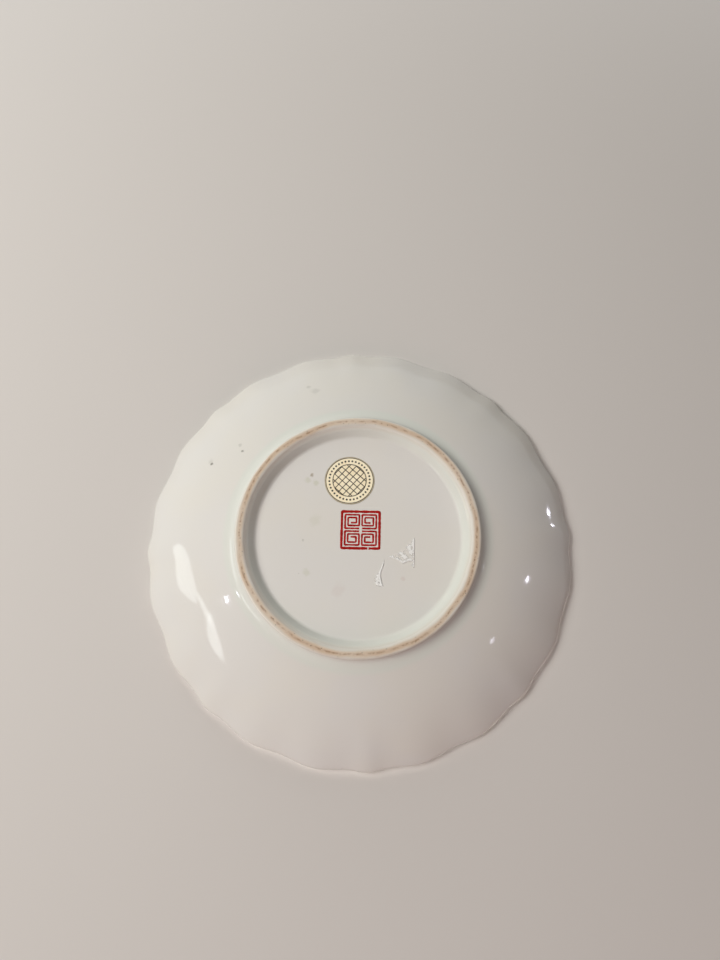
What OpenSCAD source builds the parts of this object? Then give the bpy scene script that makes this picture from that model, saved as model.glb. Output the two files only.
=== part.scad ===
// Scalloped dessert plate: a porcelain dish on a foot ring, glazed inside and out except
// on the tread, with an enamel seal, a foil label and two scraps of clear film on its base.
// Millimetres. The plate stands face up on z = 0, with a narrow lobe on +X.

/* [Rim] */
// Diameter across the tips of opposite narrow lobes
rim_d = 160.8; // [150:0.1:180]
// Height of the lobe tips above the table
rim_h = 21.8; // [19:0.1:27]
// Thickness of the rounded lip
lip_t = 2.8; // [2:0.1:3.6]

/* [Scallops] */
// Groups of lobes round the rim, each of one narrow and two wide lobes
groups = 8; // [6:1:10]
// Width of a narrow lobe along the rim
narrow_w = 14.8; // [10:0.1:22]
// Depth of the notches beside a narrow lobe
narrow_notch = 0.8; // [0.3:0.05:1.5]
// Depth of the notch between two wide lobes
wide_notch = 0.95; // [0.3:0.05:1.5]
// Length of the flutes, in from the rim
flute_len = 26; // [12:1:30]
// How far the wall steps up into the face at a notch
flute_relief = 0.45; // [0:0.05:0.8]

/* [Dish] */
// Diameter of the flat floor of the well
well_d = 68; // [56:1:84]
// Thickness of the clay in the base
base_t = 3.4; // [2.6:0.1:4.6]
// Half the change of slope between the foot and the lip, in degrees
wall_bow = 12; // [3:0.5:14]
// Thickness of the glaze
glaze_t = 0.3; // [0.15:0.05:0.5]

/* [Foot ring] */
// Outside diameter of the bare tread
foot_d = 87; // [80:0.1:94]
// Width of the bare tread
tread_w = 3; // [2.2:0.1:4]
// Length of the rounding at the tread's edges
tread_round = 0.9; // [0.3:0.05:1]
// Height of the hollow curve outside the foot
cove_h = 4; // [3:0.1:5]
// Width of the hollow curve outside the foot
cove_w = 3.9; // [3:0.1:5.5]
// Depth of the recess inside the foot, to its glaze
recess_depth = 4.2; // [3:0.1:5]
// Width of the sloped wall inside the foot
inner_wall_w = 3.3; // [2:0.1:6]
// Length of the blend between that wall and the base
base_blend = 1; // [0.4:0.1:1.6]

/* [Foil label] */
// Diameter of the label
label_d = 18.3; // [14:0.1:24]
// Thickness of the label
label_t = 0.15; // [0.1:0.01:0.3]
// Distance from the edge of the flat base to the label
label_inset = 7.8; // [3:0.1:9]
// Sideways place of the label
label_x = 2.3; // [-6:0.1:8]
// Thickness of the ink
ink_t = 0.05; // [0.03:0.01:0.1]
// Width of the printed lines
ink_line = 0.28; // [0.15:0.01:0.4]
// Margin between the label's edge and the outer printed line
ink_margin = 0.3; // [0.2:0.05:1]
// Width of the dotted band between the two printed lines
ink_band = 2.3; // [1.5:0.1:3]
// Diameter of the dots in the band
ink_dot_d = 0.7; // [0.4:0.05:1]
// Number of dots in the band
ink_dots = 36; // [12:2:44]
// Spacing of the lattice inside the inner line
ink_lattice = 1.9; // [1.2:0.1:3]

/* [Enamel seal] */
// Width of the seal
seal_w = 14.5; // [11:0.1:18]
// Height of the seal
seal_h = 14.4; // [11:0.1:18]
// Thickness of the enamel
seal_t = 0.06; // [0.04:0.01:0.12]
// Width of the seal's frame
seal_frame = 0.65; // [0.4:0.05:0.9]
// Radius of the frame's outer corners
seal_corner = 0.7; // [0.2:0.05:1.5]
// Width of the strokes of the fret
seal_stroke = 0.5; // [0.3:0.05:0.6]
// Clear glaze between the strokes
seal_gap = 0.55; // [0.4:0.05:0.8]
// Distance between the label and the seal
seal_label_gap = 2.4; // [1:0.1:4]
// Sideways place of the seal
seal_x = -1; // [-5:0.1:5]
// Turn of the seal, in degrees
seal_turn = 3.4; // [-10:0.1:10]

/* [Film scraps] */
// Thickness of the film
film_t = 0.08; // [0.04:0.01:0.15]
// Length of the wide scrap's straight cut edge
scrap_edge = 10.8; // [8:0.1:13]
// Reach of the wide scrap, from the cut edge to its torn point
scrap_reach = 9.7; // [6:0.1:11]
// Length of the narrow scrap
strip_len = 9.4; // [7:0.1:12]
// Width of the narrow scrap at its torn end
strip_w = 2.7; // [1.6:0.1:4]
// Sideways distance from the seal to the torn point of the wide scrap
scrap_side_gap = 2.2; // [1:0.1:4]
// Distance of that torn point below the seal
scrap_drop = 3; // [2:0.1:5]
// Distance of the narrow scrap below that torn point
strip_drop = 1; // [0:0.1:3]

/* [Hidden] */

// Steps along the curves of the section and round the rim
cove_steps = 3;
tread_steps = 2;
wall_steps = 6;
lip_steps = 4;
face_steps = 6;
narrow_steps = 2;
wide_steps = 3;
round_fn = 96;

// Heights and radii of the clay
foot_r = foot_d / 2;
inner_r = foot_r - tread_w;
base_r = inner_r - inner_wall_w;
base_z = recess_depth + glaze_t;
floor_z = base_z + base_t;
lip_r = lip_t / 2 - glaze_t;
lip_centre = [rim_d / 2 - lip_t / 2, rim_h - lip_t / 2];

// Corners of the foot's section, and the edges of the glaze beside the tread
base_corner = [base_r, base_z];
inner_corner = [inner_r, 0];
outer_corner = [foot_r, 0];
inner_wall_way = (base_corner - inner_corner) / norm(base_corner - inner_corner);
inner_edge = inner_corner + tread_round * inner_wall_way;
outer_edge = outer_corner + [0, tread_round];

// The wall leaves the foot flatter, and meets the lip steeper, than its mean slope
cove_end = [foot_r + cove_w, cove_h];
mean_slope = atan2(lip_centre.y - cove_end.y, lip_centre.x - cove_end.x);
flare = mean_slope + wall_bow;
shoulder = mean_slope - wall_bow;
lip_under = lip_centre + lip_r * [sin(flare), -cos(flare)];
lip_face = lip_centre - lip_r * [sin(flare), -cos(flare)];
wall_knee_r = (lip_under.y - cove_end.y + cove_end.x * tan(shoulder) - lip_under.x * tan(flare))
    / (tan(shoulder) - tan(flare));
wall_knee = [wall_knee_r, cove_end.y + (wall_knee_r - cove_end.x) * tan(shoulder)];
face_knee = [lip_face.x - (lip_face.y - floor_z) / tan(flare), floor_z];
cove_knee = [foot_r, cove_end.y - cove_w * tan(shoulder)];

// Points after a along the quadratic curve from a to c that bends towards b
function curve(a, b, c, steps) =
    [for (k = [1:steps]) let (t = k / steps) (1 - t) * (1 - t) * a + 2 * t * (1 - t) * b + t * t * c];

// Sections as [radius, height], each run so that the clay is on its left.
// The underside inside the foot, from the axis to the edge of the glaze
blend_start = base_corner - [base_blend, 0];
blend_end = base_corner - base_blend * inner_wall_way;
base_section = concat(
    [[0, base_z], blend_start],
    curve(blend_start, base_corner, blend_end, cove_steps),
    [inner_edge]);

// The rounded bare tread, between the edges of the two coats of glaze
tread_section = concat(
    curve(inner_edge, inner_corner, inner_corner + [tread_round, 0], tread_steps),
    reversed(curve(outer_edge, outer_corner, outer_corner - [tread_round, 0], tread_steps)));

// The outer side of the foot, the wall, the lip and the face, back to the axis
outer_section = concat(
    [outer_edge],
    curve(outer_edge, cove_knee, cove_end, cove_steps),
    curve(cove_end, wall_knee, lip_under, wall_steps),
    [for (k = [1:lip_steps]) let (a = flare - 90 + 180 * k / lip_steps)
        lip_centre + lip_r * [cos(a), sin(a)]],
    curve(lip_face, face_knee, [well_d / 2, floor_z], face_steps),
    [[0, floor_z]]);

// A section moved out by the thickness of the glaze
function last(list) = len(list) - 1;
function reversed(list) = [for (i = [last(list):-1:0]) list[i]];
function coated(section) =
    [for (i = [0:last(section)])
        let (along = section[min(i + 1, last(section))] - section[max(i - 1, 0)])
        section[i] + glaze_t * [along.y, -along.x] / norm(along)];

// Angles round the rim, each with the drop below a lobe's tip there.
// Half a lobe runs from its tip down to a notch, or back up
function half_lobe(start, width, depth, down, steps) =
    [for (k = [0:steps - 1])
        let (s = down ? k / steps : 1 - k / steps)
        [start + width * k / steps, depth * (1 - cos(180 * s)) / 2]];
half_narrow = 180 * narrow_w / (PI * rim_d);
half_wide = (360 / groups - 2 * half_narrow) / 4;
function lobe_group(start) =
    let (wide_start = start + half_narrow)
    concat(
        half_lobe(start, half_narrow, narrow_notch, true, narrow_steps),
        half_lobe(wide_start, half_wide, narrow_notch, false, wide_steps),
        half_lobe(wide_start + half_wide, half_wide, wide_notch, true, wide_steps),
        half_lobe(wide_start + 2 * half_wide, half_wide, wide_notch, false, wide_steps),
        half_lobe(wide_start + 3 * half_wide, half_wide, narrow_notch, true, wide_steps),
        half_lobe(wide_start + 4 * half_wide, half_narrow, narrow_notch, false, narrow_steps));
around = [for (g = [0:groups - 1]) each lobe_group(360 * g / groups)];

// Share of the scallops that a radius takes: none inside the flutes, all at the lip
flute_end_r = lip_centre.x - lip_r;
flute_start_r = rim_d / 2 - flute_len;
function flute_share(r) =
    let (s = min(1, max(0, (r - flute_start_r) / (flute_end_r - flute_start_r)))) s * s * (3 - 2 * s);

// A section point turned to one of the angles, drawn back down the wall and into the face by the drop
function placed(point, angle_drop) =
    let (
        drop = flute_share(point.x) * angle_drop[1],
        rise = drop * flute_relief / max(narrow_notch, wide_notch),
        r = point.x - drop - rise * sin(flare),
        z = point.y - drop * tan(flare) + rise * cos(flare))
    [r * cos(angle_drop[0]), r * sin(angle_drop[0]), z];

// Two triangles for the patch a, b, c, d, cut across its shorter diagonal
function patch(points, a, b, c, d) =
    norm(points[a] - points[c]) < norm(points[b] - points[d])
        ? [[a, b, c], [a, c, d]]
        : [[a, b, d], [b, c, d]];

// A solid turned from a section that starts and ends on the axis
module turned(section) {
    count = len(around);
    rings = len(section) - 2;
    points = concat(
        [for (i = [1:rings]) for (a = around) placed(section[i], a)],
        [[0, 0, section[0].y], [0, 0, section[rings + 1].y]]);
    start_pole = rings * count;
    end_pole = start_pole + 1;
    last_ring = (rings - 1) * count;
    faces = concat(
        [for (j = [0:count - 1]) [start_pole, j, (j + 1) % count]],
        [for (i = [0:rings - 2]) for (j = [0:count - 1])
            let (here = i * count, next = here + count, k = (j + 1) % count)
            each patch(points, here + j, next + j, next + k, here + k)],
        [for (j = [0:count - 1]) [end_pole, last_ring + (j + 1) % count, last_ring + j]]);
    polyhedron(points, faces);
}

// A flat layer of the given thickness on the glazed base, below the layers already there
module on_base(thick, under = 0) {
    translate([0, 0, recess_depth - under - thick])
        linear_extrude(thick)
            children();
}

// Places on the base
label_y = base_r - label_inset - label_d / 2;
seal_y = label_y - label_d / 2 - seal_label_gap - seal_h / 2;
scrap_tip = [seal_x - seal_w / 2 - scrap_side_gap, seal_y - seal_h / 2 - scrap_drop];
strip_top = [seal_x - seal_w / 2 - strip_w / 4, scrap_tip.y - strip_drop];

module porcelain_body() {
    color("#e9e6df")
        turned(concat(base_section, tread_section, outer_section));
}

module outer_glaze() {
    color("#f1efea")
        turned(concat(reversed(outer_section), coated(outer_section)));
}

module base_glaze() {
    color("#f1efea")
        turned(concat(coated(base_section), reversed(base_section)));
}

module ring(outer_r, width) {
    difference() {
        circle(outer_r, $fn = round_fn);
        circle(outer_r - width, $fn = round_fn);
    }
}

module foil_label() {
    color("#d9c48a")
        on_base(label_t)
            translate([label_x, label_y])
                circle(label_d / 2, $fn = round_fn);
}

// Two lines round the label, a band of dots between them and a lattice inside
module label_print() {
    outer_line_r = label_d / 2 - ink_margin;
    dot_ring_r = outer_line_r - ink_line - ink_band / 2;
    inner_line_r = outer_line_r - ink_line - ink_band;
    bars = floor(inner_line_r / ink_lattice);
    color("#1c1a18")
        on_base(ink_t, label_t)
            translate([label_x, label_y]) {
                ring(outer_line_r, ink_line);
                ring(inner_line_r, ink_line);
                for (k = [0:ink_dots - 1])
                    rotate(360 * k / ink_dots)
                        translate([dot_ring_r, 0])
                            circle(ink_dot_d / 2, $fn = 24);
                intersection() {
                    circle(inner_line_r - ink_line / 2, $fn = round_fn);
                    for (slant = [-45, 45])
                        rotate(slant)
                            for (k = [-bars:bars])
                                translate([0, k * ink_lattice])
                                    square([2 * inner_line_r, ink_line], center = true);
                }
            }
}

// A plain square spiral that winds in from the corner at the origin, one arm at a time
module key_spiral(width, height, stroke, pitch) {
    reach = [width - stroke, height - stroke];
    arms = 2 * floor(min(reach) / pitch) + 1;
    ways = [[1, 0], [0, 1], [-1, 0], [0, -1]];
    function arm(k) = (reach[k % 2] - pitch * max(0, floor((k - 1) / 2))) * ways[k % 4];
    corners = [for (k = 0, p = [0, 0]; k <= arms; p = p + arm(k), k = k + 1) p];
    for (k = [0:arms - 1]) {
        from = corners[k];
        to = corners[k + 1];
        translate([min(from.x, to.x), min(from.y, to.y)])
            square([abs(to.x - from.x) + stroke, abs(to.y - from.y) + stroke]);
    }
}

// A rounded frame with a square spiral in each quarter, mirrored about both middles
module seal_mark() {
    pitch = seal_stroke + seal_gap;
    quarter_w = seal_w / 2 - seal_frame - 1.5 * seal_gap;
    quarter_h = seal_h / 2 - seal_frame - 1.5 * seal_gap;
    hole = [seal_w - 2 * seal_frame, seal_h - 2 * seal_frame];
    color("#b3150f")
        on_base(seal_t)
            translate([seal_x, seal_y])
                rotate(seal_turn) {
                    difference() {
                        rounded_plate(seal_w, seal_h, seal_corner);
                        square(hole, center = true);
                    }
                    for (flip_x = [0, 1])
                        for (flip_y = [0, 1])
                            mirror([flip_x, 0])
                                mirror([0, flip_y])
                                    translate([seal_gap / 2, seal_gap / 2])
                                        key_spiral(quarter_w, quarter_h, seal_stroke, pitch);
                }
}

module rounded_plate(width, height, corner) {
    square([width - 2 * corner, height], center = true);
    square([width, height - 2 * corner], center = true);
    for (x = [-1, 1])
        for (y = [-1, 1])
            translate([x * (width / 2 - corner), y * (height / 2 - corner)])
                circle(corner, $fn = 32);
}

// Outlines of the scraps, as shares of their length and width from the torn point
module film_scrap_wide() {
    outline = [[0, 0], [0.17, -0.05], [0.35, -0.13], [0.52, -0.25], [0.68, -0.18], [0.8, -0.16],
               [0.83, -0.38], [0.92, -0.39], [1, 0.61], [0.89, 0.49], [0.76, 0.4], [0.49, 0.18], [0.19, 0.04]];
    color("#dfe0dc")
        on_base(film_t)
            translate(scrap_tip)
                polygon([for (p = outline) [-p.x * scrap_reach, p.y * scrap_edge]]);
}

module film_scrap_narrow() {
    outline = [[0, 0], [0.31, -0.2], [0.52, -0.35], [0.82, -0.48], [1.22, -0.57], [1.44, -0.75],
               [1.12, -0.98], [0.31, -1], [0.48, -0.78], [0.57, -0.6], [0.48, -0.43], [0.13, -0.22]];
    color("#dfe0dc")
        on_base(film_t)
            translate(strip_top)
                polygon([for (p = outline) [p.x * strip_w, p.y * strip_len]]);
}

porcelain_body();
outer_glaze();
base_glaze();
seal_mark();
foil_label();
label_print();
film_scrap_wide();
film_scrap_narrow();
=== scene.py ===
import math

import bpy
from mathutils import Matrix, Vector, noise
from mathutils.geometry import delaunay_2d_cdt


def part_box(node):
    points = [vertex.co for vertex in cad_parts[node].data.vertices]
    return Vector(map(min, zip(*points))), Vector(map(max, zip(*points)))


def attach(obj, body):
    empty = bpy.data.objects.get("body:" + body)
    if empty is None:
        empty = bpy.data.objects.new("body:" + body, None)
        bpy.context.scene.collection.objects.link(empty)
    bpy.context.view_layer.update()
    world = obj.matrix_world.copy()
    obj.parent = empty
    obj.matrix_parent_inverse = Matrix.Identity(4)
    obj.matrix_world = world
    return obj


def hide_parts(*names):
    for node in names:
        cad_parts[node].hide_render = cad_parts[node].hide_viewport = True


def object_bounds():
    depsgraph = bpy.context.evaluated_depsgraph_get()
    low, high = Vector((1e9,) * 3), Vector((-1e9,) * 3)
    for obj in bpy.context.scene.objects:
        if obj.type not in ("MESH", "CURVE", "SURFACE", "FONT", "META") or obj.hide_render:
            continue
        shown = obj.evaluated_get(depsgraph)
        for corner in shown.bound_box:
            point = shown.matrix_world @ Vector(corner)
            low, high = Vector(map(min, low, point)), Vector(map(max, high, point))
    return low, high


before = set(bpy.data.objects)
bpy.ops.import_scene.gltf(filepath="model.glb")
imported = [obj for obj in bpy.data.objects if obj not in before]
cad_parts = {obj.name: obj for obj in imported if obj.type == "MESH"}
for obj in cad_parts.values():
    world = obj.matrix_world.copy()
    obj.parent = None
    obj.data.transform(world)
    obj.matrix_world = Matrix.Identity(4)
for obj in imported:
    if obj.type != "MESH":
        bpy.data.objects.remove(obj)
cad_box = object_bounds()
mm = 0.001

# The porcelain body: dish and foot ring in one piece of white clay, jiggered over a fluted
# mould that gives the rim its scallops, and fired. It shows only on the tread of the foot,
# which is wiped bare so that the glaze doesn't fuse the plate to the kiln shelf.

rim_r = 80.4 * mm
rim_h = 21.8 * mm
lip_t = 2.8 * mm
glaze_t = 0.3 * mm
well_r = 34 * mm
base_t = 3.4 * mm
foot_r = 43.5 * mm
tread_w = 3 * mm
tread_round = 0.9 * mm
cove_w = 3.9 * mm
cove_h = 4 * mm
recess_depth = 4.2 * mm
inner_wall_w = 3.3 * mm
base_blend = 1 * mm
wall_bow = math.radians(12)

lobe_groups = 8
narrow_half = 14.8 * mm / (2 * rim_r)
wide_half = (2 * math.pi / lobe_groups - 2 * narrow_half) / 4
narrow_notch = 0.8 * mm
wide_notch = 0.95 * mm
flute_len = 26 * mm
flute_relief = 0.45 * mm

inner_r = foot_r - tread_w
base_r = inner_r - inner_wall_w
base_z = recess_depth + glaze_t
floor_z = base_z + base_t
lip_r = lip_t / 2 - glaze_t
lip_centre = Vector((rim_r - lip_t / 2, rim_h - lip_t / 2))

cove_end = Vector((foot_r + cove_w, cove_h))
mean_slope = math.atan2(lip_centre.y - cove_end.y, lip_centre.x - cove_end.x)
flare = mean_slope + wall_bow
shoulder = mean_slope - wall_bow
lip_out = lip_r * Vector((math.sin(flare), -math.cos(flare)))
lip_under = lip_centre + lip_out
lip_face = lip_centre - lip_out
knee_rise = lip_under.y - cove_end.y + cove_end.x * math.tan(shoulder) - lip_under.x * math.tan(flare)
knee_r = knee_rise / (math.tan(shoulder) - math.tan(flare))
wall_knee = Vector((knee_r, cove_end.y + (knee_r - cove_end.x) * math.tan(shoulder)))
face_knee = Vector((lip_face.x - (lip_face.y - floor_z) / math.tan(flare), floor_z))
cove_knee = Vector((foot_r, cove_end.y - cove_w * math.tan(shoulder)))

base_corner = Vector((base_r, base_z))
inner_corner = Vector((inner_r, 0))
outer_corner = Vector((foot_r, 0))
inner_wall_way = (base_corner - inner_corner).normalized()
inner_edge = inner_corner + tread_round * inner_wall_way
outer_edge = outer_corner + Vector((0, tread_round))
blend_start = base_corner - Vector((base_blend, 0))
blend_end = base_corner - base_blend * inner_wall_way
flat_start = inner_corner + Vector((tread_round, 0))
flat_end = outer_corner - Vector((tread_round, 0))


def bend(start, knee, end, steps):
    """Points after start along the curve from start to end that leans towards knee."""
    shares = [k / steps for k in range(1, steps + 1)]
    return [(1 - t) ** 2 * start + 2 * t * (1 - t) * knee + t ** 2 * end for t in shares]


def arc(centre, radius, from_angle, to_angle, steps):
    """Points after the first along an arc, with its angles in degrees."""
    angles = [math.radians(from_angle + (to_angle - from_angle) * k / steps) for k in range(1, steps + 1)]
    return [centre + radius * Vector((math.cos(a), math.sin(a))) for a in angles]


def straight(start, end, steps):
    """Points after start along a straight line."""
    return [start.lerp(end, k / steps) for k in range(1, steps + 1)]


def base_section(wall_steps, floor_steps):
    """The underside inside the foot as radius and height, from the axis to the edge of the tread."""
    axis = Vector((0, base_z))
    return ([axis] + straight(axis, blend_start, floor_steps)
            + bend(blend_start, base_corner, blend_end, wall_steps)
            + straight(blend_end, inner_edge, wall_steps))


def outer_section(cove_steps, wall_steps, lip_steps, floor_steps):
    """The outside of the foot, the wall, the lip and the face, back to the axis."""
    well_edge = Vector((well_r, floor_z))
    lip_from = math.degrees(flare) - 90
    return ([outer_edge] + bend(outer_edge, cove_knee, cove_end, cove_steps)
            + bend(cove_end, wall_knee, lip_under, wall_steps)
            + arc(lip_centre, lip_r, lip_from, lip_from + 180, lip_steps)
            + bend(lip_face, face_knee, well_edge, wall_steps)
            + straight(well_edge, Vector((0, floor_z)), floor_steps))


tread_section = (bend(inner_edge, inner_corner, flat_start, 8)
                 + straight(flat_start, flat_end, 4)[:-1]
                 + bend(outer_edge, outer_corner, flat_end, 8)[::-1])


class Wire:
    """A socket of a node tree. Maths on it adds Math nodes, and add() puts in any other node."""

    def __init__(self, tree, socket=None):
        self.tree = tree
        self.socket = socket

    def add(self, kind, settings=None, sockets=None, output=0):
        """Adds a node, gives it its settings and then its sockets' values or links."""
        node = self.tree.nodes.new(kind)
        for name, value in (settings or {}).items():
            setattr(node, name, value)
        for key, value in (sockets or {}).items():
            if isinstance(value, Wire):
                self.tree.links.new(value.socket, node.inputs[key])
            else:
                node.inputs[key].default_value = value
        return Wire(self.tree, node.outputs[output])

    def other(self, output):
        """Another output of the same node."""
        return Wire(self.tree, self.socket.node.outputs[output])

    def feed(self, node, socket):
        """Links this wire to a socket of a node that is already there."""
        self.tree.links.new(self.socket, node.inputs[socket])

    def maths(self, operation, *values):
        """What a Math node makes of some values."""
        return self.add("ShaderNodeMath", {"operation": operation}, dict(enumerate(values)))

    def __add__(self, value):
        return self.maths("ADD", self, value)

    def __sub__(self, value):
        return self.maths("SUBTRACT", self, value)

    def __mul__(self, value):
        return self.maths("MULTIPLY", self, value)

    def __truediv__(self, value):
        return self.maths("DIVIDE", self, value)

    def __rsub__(self, value):
        return self.maths("SUBTRACT", value, self)

    def __rtruediv__(self, value):
        return self.maths("DIVIDE", value, self)

    def __abs__(self):
        return self.maths("ABSOLUTE", self)

    __radd__ = __add__
    __rmul__ = __mul__

    def ramp(self, none, full):
        """A smooth step from 0 at none to 1 at full."""
        return self.add("ShaderNodeMapRange", {"interpolation_type": "SMOOTHSTEP"},
                        {"Value": self, "From Min": none, "From Max": full})


def tree_inputs(tree, kinds):
    """Adds named inputs to a tree: their wires, and the identifiers that a modifier sets them by."""
    identifiers = {}
    for name, kind in kinds.items():
        identifiers[name] = tree.interface.new_socket(name, in_out="INPUT", socket_type=kind).identifier
    entry = tree.nodes.new("NodeGroupInput")
    return {name: Wire(tree, entry.outputs[name]) for name in kinds}, identifiers


def end_tree(shape, finish):
    """Closes a tree: what it made is realised and takes its finish."""
    shape.tree.interface.new_socket("Piece", in_out="OUTPUT", socket_type="NodeSocketGeometry")
    real = shape.add("GeometryNodeRealizeInstances", sockets={"Geometry": shape})
    dressed = real.add("GeometryNodeSetMaterial", sockets={"Geometry": real, "Material": finish})
    dressed.feed(shape.tree.nodes.new("NodeGroupOutput"), 0)


def new_piece(name, points, edges=(), faces=()):
    """A new object at the origin, with its place in its mesh."""
    mesh = bpy.data.meshes.new(name)
    mesh.from_pydata([tuple(p) for p in points], edges, faces)
    piece = bpy.data.objects.new(name, mesh)
    bpy.context.scene.collection.objects.link(piece)
    return piece


def run_tree(piece, tree, identifiers, values):
    """Runs a tree on a piece and keeps what it makes as a plain mesh."""
    modifier = piece.modifiers.new(tree.name, "NODES")
    modifier.node_group = tree
    for name, value in values.items():
        modifier[identifiers[name]] = value
    bpy.context.view_layer.update()
    made = piece.evaluated_get(bpy.context.evaluated_depsgraph_get())
    mesh = bpy.data.meshes.new_from_object(made)
    piece.modifiers.clear()
    piece.data = mesh


# A section turned round the axis, with the lobes drawn into it towards the rim
seam_gap = 0.001 * mm
sharp_angle = math.radians(40)
turning = bpy.data.node_groups.new("fluted_turning", "GeometryNodeTree")
given, turning_inputs = tree_inputs(turning, {
    "Section": "NodeSocketGeometry", "Steps round": "NodeSocketInt", "Groups": "NodeSocketInt",
    "Narrow half": "NodeSocketFloat", "Wide half": "NodeSocketFloat",
    "Narrow notch": "NodeSocketFloat", "Wide notch": "NodeSocketFloat", "Relief": "NodeSocketFloat",
    "Flute start": "NodeSocketFloat", "Flute end": "NodeSocketFloat", "Flare": "NodeSocketFloat",
    "Corner angle": "NodeSocketFloat", "Finish": "NodeSocketMaterial"})
section_in = given["Section"]
section_points = section_in.add("GeometryNodeAttributeDomainSize", {"component": "MESH"}, {0: section_in})
sheet = section_in.add("GeometryNodeMeshGrid", sockets={
    "Vertices X": given["Steps round"] + 1, "Vertices Y": section_points})
index = section_in.add("GeometryNodeInputIndex")
column = index.maths("FLOOR", index / section_points)
section_place = section_in.add("GeometryNodeSampleIndex", {"data_type": "FLOAT_VECTOR"}, {
    "Geometry": section_in, "Value": section_in.add("GeometryNodeInputPosition"),
    "Index": index - column * section_points})
radius = section_in.add("ShaderNodeSeparateXYZ", sockets={0: section_place})
height = radius.other("Z")

turn = column / given["Steps round"] * (2 * math.pi)
off_tip = turn.maths("PINGPONG", turn, math.pi / given["Groups"])
past_narrow = (off_tip - given["Narrow half"]) / given["Wide half"]
near_narrow = off_tip.maths("MINIMUM", off_tip / given["Narrow half"], 1 - past_narrow)


def lobe_wave(share):
    """Half a wave, from 0 at a lobe's tip to 1 in the notch."""
    held = share.add("ShaderNodeClamp", sockets={"Value": share})
    return 0.5 - 0.5 * held.maths("COSINE", held * math.pi)


notch = (given["Narrow notch"] * lobe_wave(near_narrow) + given["Wide notch"] * lobe_wave(past_narrow - 1))
drop = notch * radius.ramp(given["Flute start"], given["Flute end"])
rise = drop * given["Relief"]
slope = given["Flare"]
fluted_r = radius - drop - rise * slope.maths("SINE", slope)
fluted_z = height - drop * slope.maths("TANGENT", slope) + rise * slope.maths("COSINE", slope)
fluted_place = turn.add("ShaderNodeCombineXYZ", sockets={
    "X": fluted_r * turn.maths("COSINE", turn), "Y": fluted_r * turn.maths("SINE", turn), "Z": fluted_z})
fluted = sheet.add("GeometryNodeSetPosition", sockets={"Geometry": sheet, "Position": fluted_place})
closed = fluted.add("GeometryNodeMergeByDistance", sockets={"Geometry": fluted, "Distance": seam_gap})
smooth = closed.add("GeometryNodeSetShadeSmooth", {"domain": "FACE"}, {0: closed, "Shade Smooth": True})
edge_angle = smooth.add("GeometryNodeInputMeshEdgeAngle")
corners = edge_angle.maths("GREATER_THAN", edge_angle, given["Corner angle"])
creased = smooth.add("GeometryNodeSetShadeSmooth", {"domain": "EDGE"}, {
    0: smooth, "Selection": corners, "Shade Smooth": False})
end_tree(creased, given["Finish"])


def turned_piece(name, section, steps, finish):
    """A closed shell turned from a section that starts and ends on the axis."""
    piece = new_piece(name, [(p.x, 0, p.y) for p in section])
    run_tree(piece, turning, turning_inputs, {
        "Steps round": steps, "Groups": lobe_groups, "Narrow half": narrow_half, "Wide half": wide_half,
        "Narrow notch": narrow_notch, "Wide notch": wide_notch,
        "Relief": flute_relief / max(narrow_notch, wide_notch),
        "Flute start": rim_r - flute_len, "Flute end": lip_centre.x - lip_r, "Flare": flare,
        "Corner angle": sharp_angle, "Finish": finish})
    return piece


def new_finish(name, **constants):
    """A new material: itself, its shader with what is the same all over, and Object coordinates."""
    material = bpy.data.materials.new(name)
    material.use_nodes = True
    shader = material.node_tree.nodes["Principled BSDF"]
    for socket, value in constants.items():
        shader.inputs[socket.replace("_", " ")].default_value = value
    place = Wire(material.node_tree).add("ShaderNodeTexCoord", output="Object")
    return material, shader, place


def mixed(share, first, second):
    """A colour from first to second by a share."""
    return share.add("ShaderNodeMix", {"data_type": "RGBA"}, {0: share, 6: first, 7: second}, 2)


def cloudy(place, size, detail=2.0, roughness=0.5):
    """Soft noise from 0 to 1 with blots of about the given size."""
    return place.add("ShaderNodeTexNoise", sockets={
        "Vector": place, "Scale": 1 / size, "Detail": detail, "Roughness": roughness})


def from_axis(place):
    """Distance from the axis of the plate."""
    flat = place.add("ShaderNodeVectorMath", {"operation": "MULTIPLY"}, {0: place, 1: (1, 1, 0)})
    return flat.add("ShaderNodeVectorMath", {"operation": "LENGTH"}, {0: flat}, "Value")


def specks(place, spacing, size, share):
    """Small spots, one at most in each cell of the spacing, in a share of the cells."""
    cells = place.add("ShaderNodeTexVoronoi", sockets={"Vector": place, "Scale": 1 / spacing})
    chosen = cells.add("ShaderNodeSeparateColor", sockets={0: cells.other("Color")})
    return (cells.ramp(size / spacing, 0.4 * size / spacing)
            * chosen.maths("LESS_THAN", chosen, share))


white_clay = (0.79, 0.76, 0.705, 1)
tan_clay = (0.675, 0.52, 0.385, 1)
pale_clay = (0.77, 0.67, 0.56, 1)
brown_clay = (0.30, 0.15, 0.07, 1)
dark_clay = (0.09, 0.06, 0.045, 1)
crest_r = foot_r - 0.52 * tread_w
crest_wander = 2.2 * mm
bare_half = 1.7 * mm
bare_core = 0.3 * mm
line_half = 0.5 * mm
line_core = 0.08 * mm
grain_depth = 0.03 * mm
clay, clay_shader, clay_place = new_finish("bare_porcelain", Specular_IOR_Level=0.3)
clay_grain = cloudy(clay_place, 0.4 * mm, 4, 0.65)
wander = (cloudy(clay_place, 12 * mm, 2) - 0.5) * crest_wander
off_crest = abs(from_axis(clay_place) - crest_r + wander)
bare = off_crest.ramp(bare_half, bare_core)
broken = cloudy(clay_place, 2.2 * mm, 4, 0.7).ramp(0.43, 0.6)
worn_line = off_crest.ramp(line_half, line_core) * broken
clay_pale = 0.45 * clay_grain.ramp(0.3, 0.75) + 0.55 * cloudy(clay_place, 24 * mm, 1).ramp(0.38, 0.62)
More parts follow.
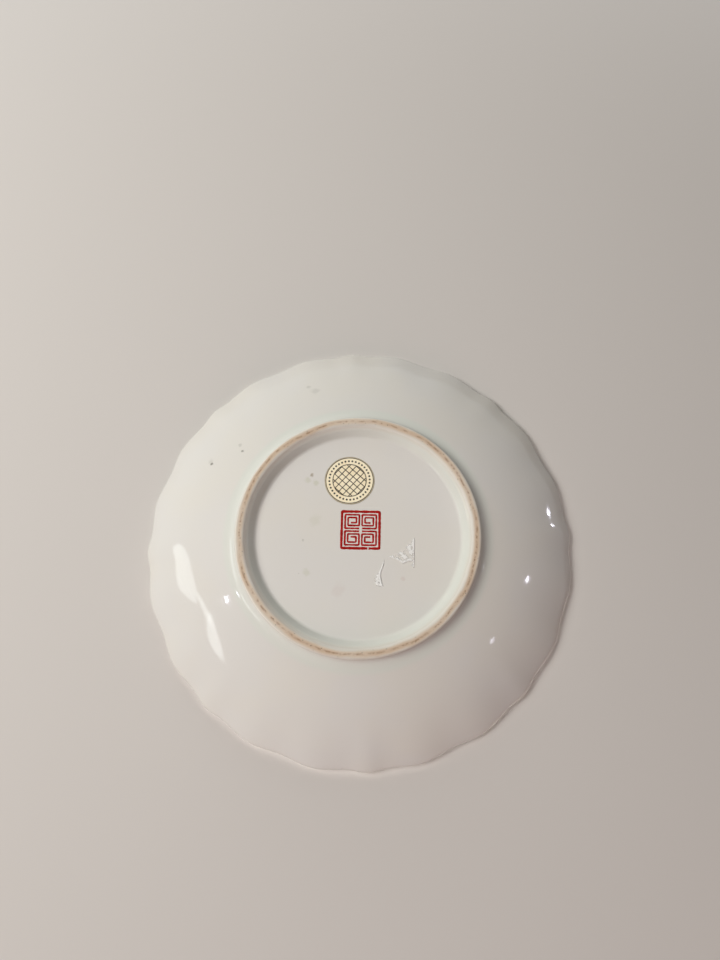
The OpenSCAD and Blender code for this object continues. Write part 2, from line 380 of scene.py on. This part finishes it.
clay_colour = mixed(bare, white_clay, mixed(clay_pale, tan_clay, pale_clay))
clay_colour = mixed(worn_line * (0.15 + 0.85 * clay_grain.ramp(0.3, 0.7)), clay_colour, brown_clay)
clay_colour = mixed(bare * specks(clay_place, 0.9 * mm, 0.22 * mm, 0.2), clay_colour, dark_clay)
clay_colour.feed(clay_shader, "Base Color")
(0.3 + 0.4 * bare + 0.2 * clay_grain).feed(clay_shader, "Roughness")
clay_place.add("ShaderNodeBump", sockets={
    "Height": clay_grain * bare, "Distance": grain_depth, "Strength": 0.6}).feed(clay_shader, "Normal")

clay_section = base_section(8, 3) + tread_section + outer_section(12, 24, 10, 3)
clay_body = turned_piece("clay_body", clay_section, 320, clay)
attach(clay_body, "root")
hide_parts("porcelain_body")

# The outer coat of glaze: clear glass fused over the white clay of the face, the lip, the
# wall and the outside of the foot. It is dipped, so it gathers in the hollow above the foot,
# where it looks faintly green, and a few iron specks and smears of handling mark the wall.

glaze_thinning = 1.5 * mm
edge_share = 0.15


def coated(section, tread_edge):
    """A section moved out by the thickness of the glaze, which thins towards the edge of the tread."""
    last = len(section) - 1
    moved = []
    for i, point in enumerate(section):
        along = section[min(i + 1, last)] - section[max(i - 1, 0)]
        share = min(1, edge_share + (point - tread_edge).length / glaze_thinning)
        moved.append(point + share * glaze_t * Vector((along.y, -along.x)).normalized())
    return moved


warm_white = (0.80, 0.775, 0.73, 1)
cool_white = (0.79, 0.772, 0.747, 1)
pooled_white = (0.765, 0.785, 0.735, 1)
iron_brown = (0.10, 0.075, 0.05, 1)
glaze_ior = 1.52
pool_height = 5 * mm
thin_from = 0.7 * mm
thin_to = 1.9 * mm
swell_depth = 0.0012 * mm


def marked(place, colour, marks):
    """Puts marks of handling on a colour: each has its place, size, colour and strength."""
    for spot, size, mark_colour, strength in marks:
        away = place.add("ShaderNodeVectorMath", {"operation": "DISTANCE"}, {0: place, 1: spot}, "Value")
        ragged = away + (cloudy(place, 0.7 * size, 3) - 0.5) * (1.2 * size)
        colour = mixed(ragged.ramp(size, 0.25 * size) * strength, colour, mark_colour)
    return colour


def glaze_finish(name, pools, marks):
    """White porcelain under clear glaze: pools are radii between which the glaze gathers."""
    material, shader, place = new_finish(name, IOR=glaze_ior)
    colour = mixed(cloudy(place, 30 * mm, 2).ramp(0.35, 0.65), warm_white, cool_white)
    spread = from_axis(place)
    height = place.add("ShaderNodeSeparateXYZ", sockets={0: place}).other("Z")
    low = height.ramp(1.3 * pool_height, pool_height)
    for inside, outside in pools:
        edge = (outside - inside) / 2
        pool = low * abs(spread - (inside + outside) / 2).ramp(1.3 * edge, 0.4 * edge)
        colour = mixed(pool * (0.7 + 0.3 * cloudy(place, 9 * mm)), colour, pooled_white)
    colour = mixed(specks(place, 7 * mm, 0.16 * mm, 0.07), colour, iron_brown)
    thin = (height + (cloudy(place, 4 * mm, 3) - 0.5) * (0.8 * mm)).ramp(thin_to, thin_from)
    marked(place, mixed(thin * 0.3, colour, pale_clay), marks).feed(shader, "Base Color")
    sheen = cloudy(place, 6 * mm, 4)
    (0.045 + 0.05 * sheen + 0.2 * thin).feed(shader, "Roughness")
    swell = cloudy(place, 12 * mm, 1) * 20 + cloudy(place, 1.4 * mm, 1)
    place.add("ShaderNodeBump", sockets={
        "Height": swell, "Distance": swell_depth, "Strength": 1.0}).feed(shader, "Normal")
    return material


def on_wall(angle, radius, height):
    """A place on the plate from its angle in degrees, its radius and its height."""
    return (radius * math.cos(math.radians(angle)), radius * math.sin(math.radians(angle)), height)


soot = (0.16, 0.145, 0.12, 1)
grey_smear = (0.52, 0.51, 0.47, 1)
wall_marks = [
    (on_wall(29.3, 62.4 * mm, 8.9 * mm), 0.9 * mm, soot, 0.8),
    (on_wall(30.0, 63.4 * mm, 9.3 * mm), 1.4 * mm, grey_smear, 0.35),
    (on_wall(38.9, 54.2 * mm, 5.8 * mm), 0.8 * mm, soot, 0.65),
    (on_wall(40.4, 57.0 * mm, 6.7 * mm), 1.1 * mm, grey_smear, 0.5),
    (on_wall(76.1, 60.6 * mm, 8.1 * mm), 2.2 * mm, grey_smear, 0.35),
    (on_wall(74.3, 63.7 * mm, 9.5 * mm), 1.2 * mm, grey_smear, 0.4)]
outer_finish = glaze_finish("outer_glaze_gloss", [(foot_r, foot_r + 1.3 * cove_w)], wall_marks)
outer_hidden = outer_section(3, 8, 6, 2)
outer_shown = coated(outer_section(12, 44, 14, 6), outer_edge)
outer_coat = turned_piece("outer_coat", outer_hidden[::-1] + outer_shown, 480, outer_finish)
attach(outer_coat, "root")
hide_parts("outer_glaze")

# The base coat of glaze: the same glass poured inside the foot ring, parted from the outer
# coat by the bare tread. It gathers in the hollow against the ring, and the flat of the base
# has old smears beside the label.

pink_smear = (0.66, 0.55, 0.52, 1)
brown_smear = (0.34, 0.27, 0.18, 1)
green_smear = (0.62, 0.62, 0.50, 1)
base_marks = [
    ((16.1 * mm, 22.9 * mm, recess_depth), 0.9 * mm, brown_smear, 0.75),
    ((17.6 * mm, 21.1 * mm, recess_depth), 1.6 * mm, green_smear, 0.5),
    ((14.7 * mm, 19.8 * mm, recess_depth), 1.4 * mm, green_smear, 0.55),
    ((15.3 * mm, 5.9 * mm, recess_depth), 3.0 * mm, green_smear, 0.25),
    ((19.7 * mm, -1.4 * mm, recess_depth), 0.6 * mm, grey_smear, 0.6),
    ((7.7 * mm, -19.6 * mm, recess_depth), 3.4 * mm, pink_smear, 0.2),
    ((-15.2 * mm, -16.7 * mm, recess_depth), 1.1 * mm, pink_smear, 0.4),
    ((18.7 * mm, -12.9 * mm, recess_depth), 1.8 * mm, green_smear, 0.4)]
base_finish = glaze_finish("base_glaze_gloss", [(base_r - 0.5 * mm, inner_r)], base_marks)
base_hidden = base_section(3, 2)
base_shown = coated(base_section(12, 10), inner_edge)
base_coat = turned_piece("base_coat", base_shown + base_hidden[::-1], 320, base_finish)
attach(base_coat, "root")
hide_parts("base_glaze")

# The enamel seal: a square fret in red overglaze enamel, printed from a rubber stamp on the
# glazed base and fired on in a last, cooler kiln. Its strokes are domed and of uneven weight,
# and the frame has a small break where the stamp missed.

seal_low, seal_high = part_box("seal_mark")
seal_mid = (seal_low + seal_high) / 2
seal_half = Vector((7.25 * mm, 7.2 * mm))
seal_turn = Matrix.Rotation(math.radians(3.4), 2)
seal_frame = 0.95 * mm
seal_stroke = 0.66 * mm
seal_gap = 0.38 * mm
seal_break = -2.75 * mm
break_half = 0.2 * mm
frame_round = 0.5 * mm
fret_round = 0.25 * mm
enamel_t = 0.06 * mm
stroke_step = 0.15 * mm
stroke_unevenness = 0.9


def key_spiral(reach, pitch):
    """Corners of a square spiral that winds in from the origin, along x first."""
    ways = [Vector((1, 0)), Vector((0, 1)), Vector((-1, 0)), Vector((0, -1))]
    corners = [Vector((0, 0))]
    for k in range(2 * int(min(reach) / pitch) + 1):
        corners.append(corners[-1] + (reach[k % 2] - pitch * max(0, (k - 1) // 2)) * ways[k % 4])
    return corners


def stroke_line(corners, cut):
    """Points along a stroke, its corners rounded off over a length on each side."""
    line = [corners[0]]
    for before, corner, after in zip(corners, corners[1:], corners[2:]):
        start = corner + cut * (before - corner).normalized()
        end = corner + cut * (after - corner).normalized()
        line += [start] + bend(start, corner, end, 4)
    return line + [corners[-1]]


frame_x, frame_y = seal_half - Vector((seal_frame, seal_frame)) / 2
frame_corners = [Vector(p) for p in [
    (seal_break - break_half, -frame_y), (-frame_x, -frame_y), (-frame_x, frame_y), (frame_x, frame_y),
    (frame_x, -frame_y), (seal_break + break_half, -frame_y)]]
strokes = [(stroke_line(frame_corners, frame_round), seal_frame)]
fret_start = (seal_gap + seal_stroke) / 2
fret_reach = [half - seal_frame - seal_gap - seal_stroke / 2 - fret_start for half in seal_half]
spiral = stroke_line(key_spiral(fret_reach, seal_stroke + seal_gap), fret_round)
for side_x in (-1, 1):
    for side_y in (-1, 1):
        quarter = [Vector((side_x * (fret_start + p.x), side_y * (fret_start + p.y))) for p in spiral]
        strokes.append((quarter, seal_stroke))

seal_points = []
seal_edges = []
seal_widths = []
for line, width in strokes:
    start = len(seal_points)
    for spot in line:
        turned = seal_turn @ spot
        seal_points.append((seal_mid.x + turned.x, seal_mid.y + turned.y, recess_depth))
        seal_widths.append(width / 2)
    seal_edges += [(k, k + 1) for k in range(start, len(seal_points) - 1)]

# A flat domed stroke swept along each line, its width drawn from the line and a little uneven
sweeping = bpy.data.node_groups.new("enamel_strokes", "GeometryNodeTree")
given, sweeping_inputs = tree_inputs(sweeping, {
    "Lines": "NodeSocketGeometry", "Step": "NodeSocketFloat", "Flatness": "NodeSocketFloat",
    "Unevenness": "NodeSocketFloat", "Finish": "NodeSocketMaterial"})
lines_in = given["Lines"]
curves = lines_in.add("GeometryNodeMeshToCurve", sockets={"Mesh": lines_in})
curves = lines_in.add("GeometryNodeResampleCurve", {"mode": "LENGTH"}, {
    "Curve": curves, "Length": given["Step"]})
curves = lines_in.add("GeometryNodeSetCurveNormal", {"mode": "Z_UP"}, {"Curve": curves})
round_profile = lines_in.add("GeometryNodeCurvePrimitiveCircle", sockets={"Resolution": 12, "Radius": 1.0})
squash = lines_in.add("ShaderNodeCombineXYZ", sockets={"X": 1.0, "Y": given["Flatness"], "Z": 1.0})
profile = lines_in.add("GeometryNodeTransform", sockets={"Geometry": round_profile, "Scale": squash})
half_width = lines_in.add("GeometryNodeInputNamedAttribute", sockets={"Name": "half_width"})
stroke_place = lines_in.add("GeometryNodeInputPosition")
weight = cloudy(stroke_place, 1.3 * mm, 2) - 0.5
swept = lines_in.add("GeometryNodeCurveToMesh", sockets={
    "Curve": curves, "Profile Curve": profile, "Scale": half_width * (1 + weight * given["Unevenness"]),
    "Fill Caps": True})
end_tree(swept.add("GeometryNodeSetShadeSmooth", {"domain": "FACE"}, {0: swept}), given["Finish"])

seal_red = (0.44, 0.006, 0.003, 1)
seal_dark = (0.30, 0.004, 0.002, 1)
enamel, enamel_shader, enamel_place = new_finish("red_enamel", Specular_IOR_Level=0.25)
enamel_blot = cloudy(enamel_place, 1.5 * mm, 3)
enamel_colour = mixed(enamel_blot.ramp(0.35, 0.7), seal_red, seal_dark)
enamel_void = specks(enamel_place, 1.2 * mm, 0.2 * mm, 0.12)
mixed(enamel_void * 0.7, enamel_colour, warm_white).feed(enamel_shader, "Base Color")
(0.25 + 0.25 * enamel_blot).feed(enamel_shader, "Roughness")
seal_print = new_piece("seal_print", seal_points, seal_edges)
seal_print.data.attributes.new("half_width", "FLOAT", "POINT").data.foreach_set("value", seal_widths)
run_tree(seal_print, sweeping, sweeping_inputs, {
    "Step": stroke_step, "Flatness": 2 * enamel_t / seal_frame,
    "Unevenness": stroke_unevenness, "Finish": enamel})
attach(seal_print, "root")
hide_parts("seal_mark")

# The foil label: a round sticker punched from pale gold foil paper, pressed on the base by
# hand, so that its rim is a little uneven and its face has faint dents.

label_low, label_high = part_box("foil_label")
label_mid = (label_low + label_high) / 2
label_r = (label_high.x - label_low.x) / 2
label_steps = 144
label_face_rings = [0.15, 0.3, 0.45, 0.6, 0.72, 0.82, 0.9, 0.95, 0.98]
label_edge_rings = [(0.993, 0.9), (1.0, 0.55), (1.0, 0.0)]
label_rings = [(share, 1.0) for share in label_face_rings] + label_edge_rings
rim_waver = 0.006
rim_ripple = 0.003
dent_size = 3 * mm
dent_depth = 0.03 * mm


def label_point(share, angle, level):
    """A place on the label: a share of its radius, an angle, and 0 on the base to 1 on its face."""
    way = Vector((math.cos(angle), math.sin(angle), 0))
    uneven = 1 + rim_waver * noise.noise(2.2 * way) + rim_ripple * noise.noise(6 * way + Vector((0, 0, 5)))
    flat = label_mid + share * label_r * uneven * way
    dent = dent_depth * max(0, noise.noise(Vector((flat.x, flat.y, 0)) / dent_size))
    z = label_high.z + level * (label_low.z - label_high.z) + level * dent
    return Vector((flat.x, flat.y, z))


label_points = [label_point(0, 0, 1)]
for share, level in label_rings:
    for k in range(label_steps):
        label_points.append(label_point(share, 2 * math.pi * k / label_steps, level))
label_back = len(label_points)
label_points.append(label_point(0, 0, 0))
label_faces = []
last_ring = 1 + (len(label_rings) - 1) * label_steps
for k in range(label_steps):
    after = (k + 1) % label_steps
    label_faces.append((0, 1 + after, 1 + k))
    for ring in range(1, last_ring, label_steps):
        label_faces.append((ring + k, ring + after, ring + label_steps + after, ring + label_steps + k))
    label_faces.append((label_back, last_ring + k, last_ring + after))
label_disc = new_piece("label_disc", label_points, faces=label_faces)
label_disc.data.shade_smooth()

foil_gold = (0.98, 0.88, 0.66, 1)
foil_deep = (0.92, 0.78, 0.53, 1)
foil_edge = (0.20, 0.15, 0.08, 1)
fibre_depth = 0.01 * mm
foil, foil_shader, foil_place = new_finish("gold_foil", Metallic=0.6)
foil_spread = foil_place.add("ShaderNodeVectorMath", {"operation": "DISTANCE"}, {
    0: foil_place, 1: (label_mid.x, label_mid.y, label_low.z)}, "Value")
foil_fibre = cloudy(foil_place, 0.35 * mm, 4, 0.7)
foil_cloud = cloudy(foil_place, 5 * mm, 2)
foil_colour = mixed(0.6 * foil_cloud.ramp(0.35, 0.7) + 0.25 * foil_fibre, foil_gold, foil_deep)
# The foil is drawn darker in a thin ring at its rim.
foil_dark_rim = foil_spread.ramp(0.965 * label_r, 0.995 * label_r)
mixed(foil_dark_rim * 0.85, foil_colour, foil_edge).feed(foil_shader, "Base Color")
(0.34 + 0.2 * foil_fibre).feed(foil_shader, "Roughness")
foil_place.add("ShaderNodeBump", sockets={
    "Height": foil_fibre, "Distance": fibre_depth, "Strength": 0.35}).feed(foil_shader, "Normal")
label_disc.data.materials.append(foil)
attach(label_disc, "root")
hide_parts("foil_label")

# The print on the label: two fine rings, a band of dots and a lattice in black ink, laid on
# the foil before the label was punched out, and rubbed thin in places.

ink_black = (0.012, 0.010, 0.009, 1)
ink_rubbed = (0.10, 0.08, 0.05, 1)
ink, ink_shader, ink_place = new_finish("black_ink", Specular_IOR_Level=0.35)
ink_rub = cloudy(ink_place, 0.9 * mm, 4, 0.6)
mixed(ink_rub.ramp(0.45, 0.8), ink_black, ink_rubbed).feed(ink_shader, "Base Color")
(0.4 + 0.3 * ink_rub).feed(ink_shader, "Roughness")
label_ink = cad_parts["label_print"]
label_ink.data.materials.clear()
label_ink.data.materials.append(ink)

# The film scraps: what is left of a clear wrapper, torn and crumpled on the base. The film is
# almost unseen where it lies flat, and is drawn opaque and white along its creases and its
# wrinkles: partly the film's own whitening where it is creased, partly a painted highlight that
# stands for the glints its folds catch.

film_t = 0.08 * mm
film_step = 0.28 * mm
film_merge = 0.0001 * mm
ripple_size = 1.5 * mm
ridge_w = 0.45 * mm
wrinkle_reach = 3 * mm
film_white = (0.97, 0.97, 0.96, 1)
film, film_shader, film_place = new_finish("clear_film", Base_Color=film_white, IOR=1.48)
crease_white_and_glint = film_place.add("ShaderNodeAttribute", {"attribute_name": "crease"}, output="Fac")
film_haze = cloudy(film_place, 0.8 * mm, 3)
# Opaque white along the creases: partly the creased film's own whitening, partly a painted highlight for
# the glints of its folds.
(0.03 + 0.95 * crease_white_and_glint.ramp(0.28, 0.6)).feed(film_shader, "Alpha")
(0.12 + 0.18 * film_haze).feed(film_shader, "Roughness")


def line_distance(spot, start, end):
    """Distance of a place from a straight crease."""
    along = end - start
    share = max(0, min(1, (spot - start).dot(along) / along.length_squared))
    return (spot - start - share * along).length


def torn_sheet(outline):
    """Even triangles inside an outline: their flat points, and their faces, which look down."""
    rim = []
    for start, end in zip(outline, outline[1:] + outline[:1]):
        parts = max(1, round((end - start).length / film_step))
        rim += [start.lerp(end, k / parts) for k in range(parts)]
    low = Vector((min(p.x for p in outline), min(p.y for p in outline)))
    high = Vector((max(p.x for p in outline), max(p.y for p in outline)))
    inner = []
    for row in range(int((high.y - low.y) / film_step)):
        for col in range(int((high.x - low.x) / film_step)):
            spot = low + film_step * Vector((col + 0.5 * (row % 2) + 0.3, row + 0.5))
            if min((spot - p).length for p in rim) > 0.6 * film_step:
                inner.append(spot)
    count = len(rim)
    loop = [(k, (k + 1) % count) for k in range(count)]
    flat, _, faces, *_ = delaunay_2d_cdt(rim + inner, loop, [list(range(count))], 1, film_merge)
    return flat, [tuple(reversed(face)) for face in faces]


def film_scrap(name, node, outline, folds, lift):
    """A torn sheet on the base: its outline, the lines it is creased along, and how far it lifts."""
    flat, faces = torn_sheet(outline)
    points = []
    crease_whites_and_glints = []
    for spot in flat:
        near = min(line_distance(spot, a, b) for a, b in folds)
        ripple = abs(noise.noise(Vector((spot.x, spot.y, 0)) / ripple_size))
        ridge = math.exp(-near / ridge_w)
        wrinkle = (1 - ripple) ** 4 * math.exp(-near / wrinkle_reach)
        points.append((spot.x, spot.y, recess_depth - film_t / 2 - lift * (0.9 * ridge + 0.5 * ripple)))
        # How opaque and white the film is drawn here: creased film whitening and a painted highlight for
        # the glints of the folds.
        crease_whites_and_glints.append(min(1.0, 0.8 * ridge + 0.6 * wrinkle))
    piece = new_piece(name, points, faces=faces)
    layer = piece.data.attributes.new("crease", "FLOAT", "POINT")
    layer.data.foreach_set("value", crease_whites_and_glints)
    piece.data.shade_smooth()
    thick = piece.modifiers.new("film thickness", "SOLIDIFY")
    thick.thickness = film_t
    thick.offset = 0
    piece.data.materials.append(film)
    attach(piece, "root")
    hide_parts(node)


wide_low, wide_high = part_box("film_scrap_wide")
wide_reach = wide_high.x - wide_low.x
wide_edge = wide_high.y - wide_low.y
wide_lift = 0.06 * mm
tip_share = 0.39
wide_tip = Vector((wide_high.x, wide_low.y + tip_share * wide_edge))


def wide_place(reach, along):
    """A place on the wide scrap, as shares of its reach and of its cut edge from its torn point."""
    return wide_tip + Vector((-reach * wide_reach, along * wide_edge))


wide_outline = [wide_place(*p) for p in [
    (0, 0), (0.17, -0.05), (0.35, -0.13), (0.52, -0.25), (0.68, -0.18), (0.8, -0.16), (0.83, -0.38),
    (0.92, -0.39), (1, 0.61), (0.89, 0.49), (0.76, 0.4), (0.49, 0.18), (0.19, 0.04)]]
wide_folds = [(wide_place(*a), wide_place(*b)) for a, b in [
    ((0.05, -0.01), (0.5, -0.22)), ((0.5, -0.22), (0.78, -0.15)), ((0.95, -0.3), (0.99, 0.55)),
    ((0.45, 0.1), (0.62, -0.05)), ((0.8, 0.3), (0.84, 0.1))]]
film_scrap("wrapper_scrap_wide", "film_scrap_wide", wide_outline, wide_folds, wide_lift)

narrow_low, narrow_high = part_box("film_scrap_narrow")
narrow_len = narrow_high.y - narrow_low.y
narrow_lift = 0.07 * mm
splayed_end = 1.44
narrow_w = (narrow_high.x - narrow_low.x) / splayed_end


def narrow_place(across, along):
    """A place on the narrow scrap, as shares of its width and of its length from its top."""
    return Vector((narrow_low.x + across * narrow_w, narrow_high.y + along * narrow_len))


narrow_outline = [narrow_place(*p) for p in [
    (0, 0), (0.31, -0.2), (0.52, -0.35), (0.82, -0.48), (1.22, -0.57), (splayed_end, -0.75),
    (1.12, -0.98), (0.31, -1), (0.48, -0.78), (0.57, -0.6), (0.48, -0.43), (0.13, -0.22)]]
narrow_folds = [(narrow_place(*a), narrow_place(*b)) for a, b in [
    ((0.05, -0.05), (0.4, -0.36)), ((0.4, -0.36), (0.66, -0.56)), ((0.66, -0.56), (0.5, -0.94)),
    ((0.9, -0.6), (1.1, -0.9))]]
film_scrap("wrapper_scrap_narrow", "film_scrap_narrow", narrow_outline, narrow_folds, narrow_lift)

# The stage: a pale floor under the plate for views from above, and a pale sheet at the lip for
# views of the underside, which throws some light back on the lip. Each shows only on its own
# side, so that light reaches both faces.

floor_grey = (0.55, 0.537, 0.524, 1)
sheet_white = (0.71, 0.68, 0.66, 1)
backdrop = (0.80, 0.79, 0.775, 1)
stage_half = 4.0
fade_start = 0.2
fade_end = 0.9


def stage_sheet(name, height, up, colour, seen_from, lit_from):
    """A large plain sheet that fades into the backdrop, with two radii.

    The camera sees it from the first radius outwards, and it throws light back from the second.
    Its glow far out is a backdrop and not a lamp, so it isn't sampled as one.
    """
    corners = [(-1, -1), (1, -1), (1, 1), (-1, 1)]
    points = [(stage_half * x, stage_half * y, height) for x, y in corners]
    face = (0, 1, 2, 3) if up else (3, 2, 1, 0)
    sheet_piece = new_piece(name, points, faces=[face])
    material = bpy.data.materials.new(name + "_paper")
    material.use_nodes = True
    material.cycles.emission_sampling = "NONE"
    material.node_tree.nodes.clear()
    start = Wire(material.node_tree)
    place = start.add("ShaderNodeTexCoord", output="Object")
    matt = start.add("ShaderNodeBsdfDiffuse", sockets={"Color": colour})
    glow = start.add("ShaderNodeEmission", sockets={"Color": backdrop})
    spread = from_axis(place)
    far = spread.ramp(fade_start, fade_end)
    paper = start.add("ShaderNodeMixShader", sockets={0: far, 1: matt, 2: glow})
    clear = start.add("ShaderNodeBsdfTransparent")
    in_front = 1 - start.add("ShaderNodeNewGeometry", output="Backfacing")
    light_path = start.add("ShaderNodeLightPath")
    bounced = light_path.other("Is Diffuse Ray") + light_path.other("Is Glossy Ray")
    camera_part = light_path * spread.maths("GREATER_THAN", spread, seen_from)
    shows = in_front * (camera_part + bounced * spread.maths("GREATER_THAN", spread, lit_from))
    seen = start.add("ShaderNodeMixShader", sockets={0: shows, 1: clear, 2: paper})
    seen.feed(material.node_tree.nodes.new("ShaderNodeOutputMaterial"), "Surface")
    sheet_piece.data.materials.append(material)


sheet_gap = 0.1 * mm
lip_height = cad_box[1][2] + sheet_gap
past_stage = 2 * stage_half
behind_lip = rim_r - 2 * lip_t
stage_sheet("floor", 0, True, floor_grey, 0, past_stage)
stage_sheet("lip_sheet", lip_height, False, sheet_white, behind_lip, rim_r - wide_notch)

# The lamps: soft boxes that face the plate. Wide ones light the underside and make no glint,
# small ones show only as the glints in the glaze of the wall, and two hang above the face.


def softbox(name, place, length_way, length, width, watts, colour, glints=True, fills=True):
    """A lamp that faces the plate, its length along a way. It makes glints, fills shadows or both."""
    lamp = bpy.data.lights.new(name, "AREA")
    lamp.shape = "RECTANGLE" if fills else "ELLIPSE"
    lamp.size = length
    lamp.size_y = width
    lamp.energy = watts
    lamp.color = colour
    holder = bpy.data.objects.new(name, lamp)
    outward = Vector(place).normalized()
    upward = outward.cross(Vector(length_way)).normalized()
    across = upward.cross(outward)
    holder.matrix_world = Matrix.Translation(Vector(place)) @ Matrix(
        (across, upward, outward)).transposed().to_4x4()
    holder.visible_camera = False
    holder.visible_glossy = glints
    holder.visible_diffuse = fills
    bpy.context.scene.collection.objects.link(holder)


sideways = (1, 0, 0)
upright = (0, 1, 0)
window_light = (0.92, 1.0, 0.98)
plain_light = (1.0, 0.985, 0.93)
clear_light = (1.0, 0.975, 0.935)
rosy_light = (1.0, 0.72, 0.68)
violet_light = (0.86, 0.84, 1.0)
upper_way = (0.34, 0.83, 0.44)
neck_way = (0.28, 0.91, 0.30)
lower_way = (0.04, 0.98, -0.21)
softbox("side_fill", (0.65, 0.09, -0.69), upright, 0.45, 0.45, 7.4, plain_light, glints=False)
softbox("high_fill", (-0.05, 0.85, -0.38), sideways, 0.60, 0.40, 2.0, plain_light, glints=False)
softbox("low_fill", (-0.15, -0.85, -0.38), sideways, 0.70, 0.40, 2.1, rosy_light, glints=False)
softbox("window_upper", (0.765, 0.036, -0.324), upper_way, 0.32, 0.140, 0.34, window_light, fills=False)
softbox("window_neck", (0.686, -0.127, -0.437), neck_way, 0.16, 0.035, 0.05, window_light, fills=False)
softbox("window_lower", (0.665, -0.257, -0.442), lower_way, 0.24, 0.075, 0.17, window_light, fills=False)
softbox("spark_upper", (-0.832, 0.238, -0.082), upright, 0.015, 0.036, 0.06, violet_light, fills=False)
softbox("spark_middle", (-0.745, -0.060, -0.402), upright, 0.03, 0.025, 0.06, violet_light, fills=False)
softbox("spark_lower", (-0.583, -0.331, -0.507), upright, 0.025, 0.02, 0.018, violet_light, fills=False)
softbox("spark_left", (0.594, -0.095, -0.574), upright, 0.035, 0.02, 0.055, violet_light, fills=False)
softbox("over_key", (-0.48, -0.48, 0.66), upright, 0.24, 0.24, 7.0, clear_light, glints=False)
softbox("over_fill", (0.05, 0.05, 0.95), sideways, 0.50, 0.40, 2.8, clear_light)

# The surroundings: a pale backdrop that the camera and the gloss see, brighter in the glaze
# where the flat of the base mirrors it. It lights little, which is left to the lamps.

base_mirror_way = (0.02, 0.31, -0.95)
mirror_gain = 0.4
ambient_strength = 0.015
world = bpy.data.worlds.new("studio")
bpy.context.scene.world = world
world.use_nodes = True
world.node_tree.nodes.clear()
world_start = Wire(world.node_tree)
sky_way = world_start.add("ShaderNodeTexCoord", output="Generated")
sky_lean = sky_way.add("ShaderNodeVectorMath", {"operation": "DOT_PRODUCT"}, {
    0: sky_way, 1: base_mirror_way}, "Value")
sky_ray = world_start.add("ShaderNodeLightPath", output="Is Camera Ray")
glossy_ray = sky_ray.other("Is Glossy Ray")
mirrored_ray = sky_ray.maths("MAXIMUM", glossy_ray, sky_ray.other("Is Transmission Ray"))
brighter = 1 + mirror_gain * mirrored_ray * sky_lean.ramp(0.88, 0.985)
ambient = world_start.add("ShaderNodeBackground", sockets={
    "Color": backdrop, "Strength": ambient_strength})
shown_sky = world_start.add("ShaderNodeBackground", sockets={"Color": backdrop, "Strength": brighter})
sky = world_start.add("ShaderNodeMixShader", sockets={
    0: sky_ray.maths("MAXIMUM", sky_ray, mirrored_ray), 1: ambient, 2: shown_sky})
sky.feed(world.node_tree.nodes.new("ShaderNodeOutputWorld"), "Surface")
bpy.context.scene.view_settings.view_transform = "Standard"

# The camera: under the plate, looking up at its base as a person does who has turned it over
# to see the label, from a hand's length away.

camera_data = bpy.data.cameras.new("underside_camera")
camera_data.sensor_width = 36
camera_data.lens = 24
camera_eye = Vector((-1.39, -51.07, -219.97)) * mm
camera_top = Vector((-0.0409, 0.9521, -0.3030))
camera_way = Vector((-0.0006, 0.3032, 0.9529)).normalized()
camera_right = camera_way.cross(camera_top).normalized()
camera_up = camera_right.cross(camera_way)
camera = bpy.data.objects.new("underside_camera", camera_data)
camera.matrix_world = Matrix.Translation(camera_eye) @ Matrix(
    (camera_right, camera_up, -camera_way)).transposed().to_4x4()
bpy.context.scene.collection.objects.link(camera)
bpy.context.scene.camera = camera
